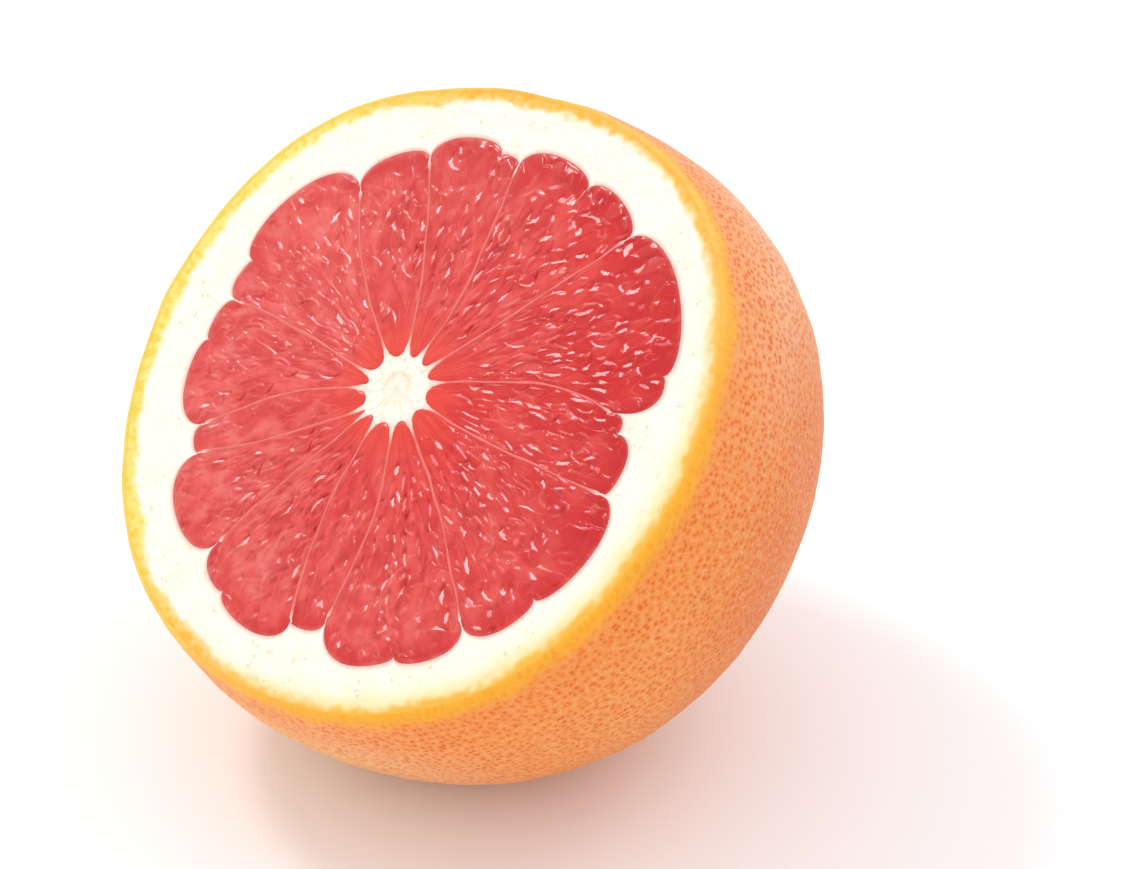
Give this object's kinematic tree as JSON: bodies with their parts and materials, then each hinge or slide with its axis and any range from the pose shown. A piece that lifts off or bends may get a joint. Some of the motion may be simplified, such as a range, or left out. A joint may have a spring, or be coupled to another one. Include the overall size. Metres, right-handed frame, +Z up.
{
  "type": "cut grapefruit",
  "caption": "Large pink grapefruit cut across rather above its middle, leaning back on a small flat on its side with the cut face forward and up.",
  "frame": {"origin": "on the small flat that the fruit rests on, straight below the middle of the fruit", "axes": "+Z up; the cut face leans back 45 degrees and looks toward -Y and +Z; +X is to the right when facing the cut"},
  "size_m": [0.1095, 0.1046, 0.1033],
  "materials": {
    "peel": "waxy orange skin with fine pores",
    "pith": "soft cream white, matte and slightly damp",
    "flesh": "wet translucent pink-red juice sacs",
    "stem_button": "dry green-brown stem scar"
  },
  "bodies": {
    "root": {"cut_grapefruit": "peel"}
  },
  "joints": []
}
